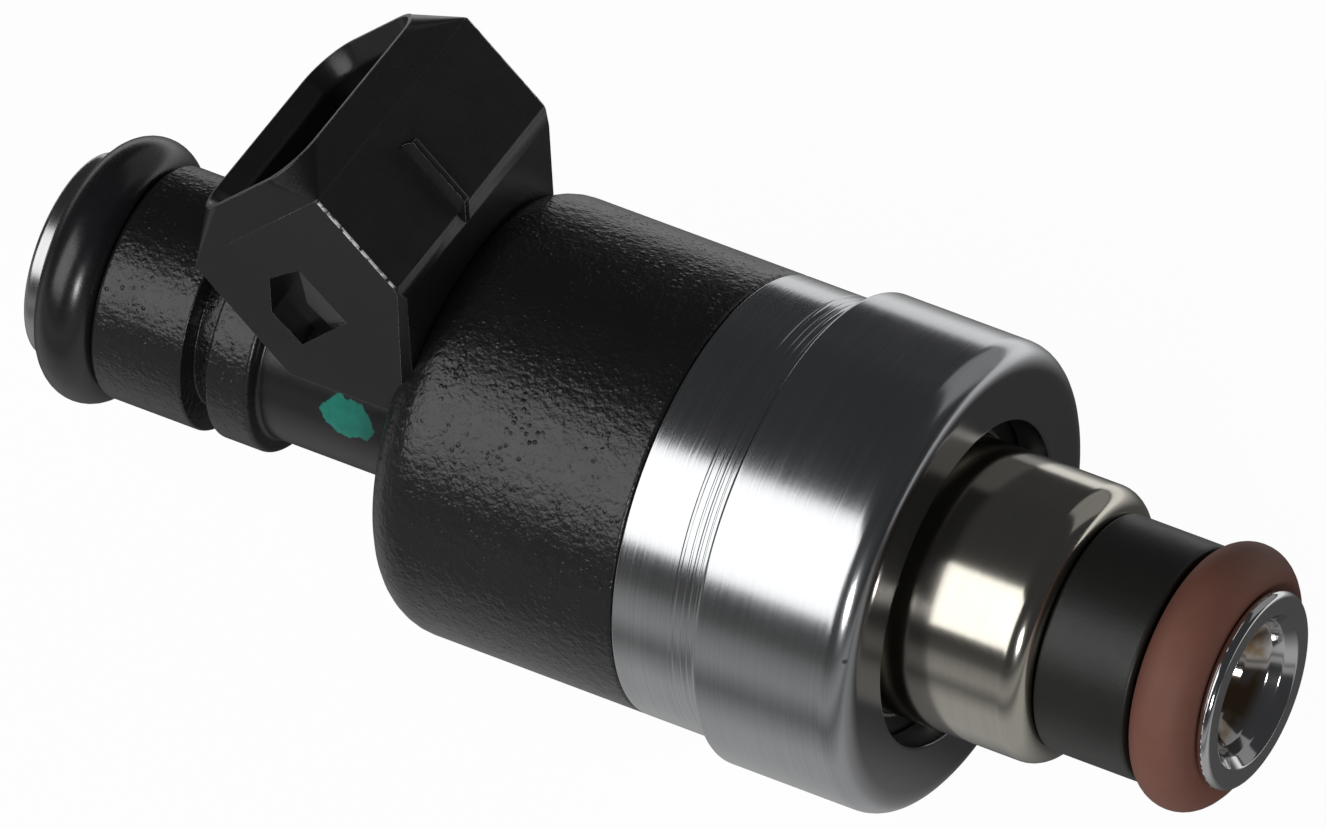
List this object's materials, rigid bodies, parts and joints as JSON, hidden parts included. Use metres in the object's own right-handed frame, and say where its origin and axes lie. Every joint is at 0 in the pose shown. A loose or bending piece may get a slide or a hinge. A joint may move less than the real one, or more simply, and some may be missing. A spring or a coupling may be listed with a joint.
{
  "type": "fuel injector",
  "caption": "Top-feed port fuel injector with a moulded body, angled two-way connector socket, steel can, nozzle tube and O-ring seals at both ends.",
  "frame": {"origin": "on the injector's axis, at the middle of the lower O-ring, which seals it in the manifold's port", "axes": "+X along the injector's axis towards the spray tip, +Z towards the side that the connector leans to"},
  "size_m": [0.0708, 0.026, 0.0333],
  "materials": {
    "moulding": "glossy black glass-filled plastic with an orange-peel pebble",
    "spacer": "satin black plastic",
    "rubber_black": "satin black rubber",
    "rubber_brown": "matt brown rubber",
    "rubber_inner": "plain black rubber",
    "steel": "turned and polished steel",
    "nickel": "bright drawn steel with a warm tint",
    "polished": "polished",
    "inner_steel": "turned soft magnetic steel",
    "spring_steel": "drawn wire",
    "terminal": "dull tinned brass",
    "copper": "enamelled copper wire",
    "bobbin": "natural brown nylon",
    "filter_plastic": "off-white nylon",
    "filter_mesh": "fine woven mesh"
  },
  "bodies": {
    "injector_body": {"moulded_body": "moulding", "inlet_tube": "nickel", "upper_o_ring": "rubber_black", "filter_frame": "filter_plastic", "filter_screen": "filter_mesh", "coil_housing": "steel", "pole_piece": "inner_steel", "flux_washer": "inner_steel", "coil_bobbin": "bobbin", "coil_winding": "copper", "terminal_blade_right": "terminal", "terminal_blade_left": "terminal", "lower_pole_ring": "inner_steel", "upper_coil_seal": "rubber_inner", "lower_coil_seal": "rubber_inner", "calibration_tube": "terminal", "return_spring": "spring_steel", "lower_can": "steel", "nozzle_tube": "nickel", "body_seal_ring": "rubber_inner", "spacer_sleeve": "spacer", "lower_o_ring": "rubber_brown", "ball_guide": "inner_steel", "valve_seat": "polished", "director_plate": "polished", "spray_tip": "polished"},
    "armature": {"armature": "inner_steel", "valve_ball": "polished"}
  },
  "joints": [
    {"name": "armature_lift", "type": "slide", "parent": "injector_body", "child": "armature", "axis": [-1, 0, 0], "range_m": [0, 0.00015], "stiffness_N_per_m": 1500, "springref_m": -0.003, "deforming": ["return_spring"]}
  ]
}
